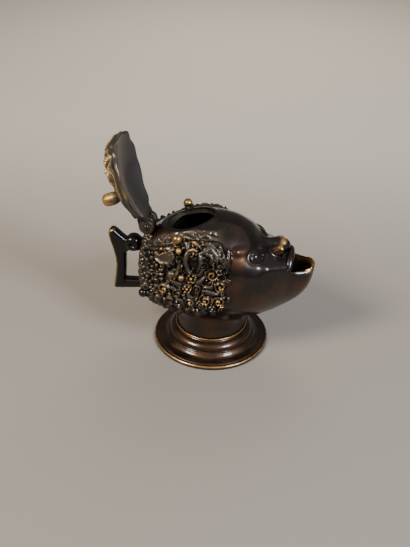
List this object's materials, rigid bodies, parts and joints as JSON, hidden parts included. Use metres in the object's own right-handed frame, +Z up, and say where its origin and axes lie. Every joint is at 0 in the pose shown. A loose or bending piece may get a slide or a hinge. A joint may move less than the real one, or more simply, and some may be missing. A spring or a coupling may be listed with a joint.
{
  "type": "oil lamp",
  "caption": "Cast bronze oil lamp shaped as a head with curly hair lying face up: the open mouth is the wick spout, a hinged lid covers the filling hole, with a strap handle and a round foot.",
  "frame": {"origin": "on the table under the middle of the lamp's length and width, with the lid open", "axes": "+Z up, +X from the handle to the spout, +Y to the head's right side"},
  "size_m": [0.1173, 0.0676, 0.1221],
  "materials": {
    "dark_bronze": "dark brown patinated cast bronze, rubbed golden on the high points",
    "foot_bronze": "dark brown patinated turned bronze with bright worn edges",
    "handle_bronze": "dark brown patinated bronze with worn edges",
    "pin_bronze": "rubbed bronze",
    "lid_bronze": "patinated cast bronze, grey-brown and smooth inside"
  },
  "bodies": {
    "lamp": {"lamp_head": "dark_bronze", "foot": "foot_bronze", "handle": "handle_bronze", "hinge_pin": "pin_bronze"},
    "lid": {"lid": "lid_bronze"}
  },
  "joints": [
    {"name": "lid_hinge", "type": "hinge", "parent": "lamp", "child": "lid", "pos_m": [-0.0339, 0, 0.0734], "axis": [0, 1, 0], "range_deg": [0, 101]}
  ]
}
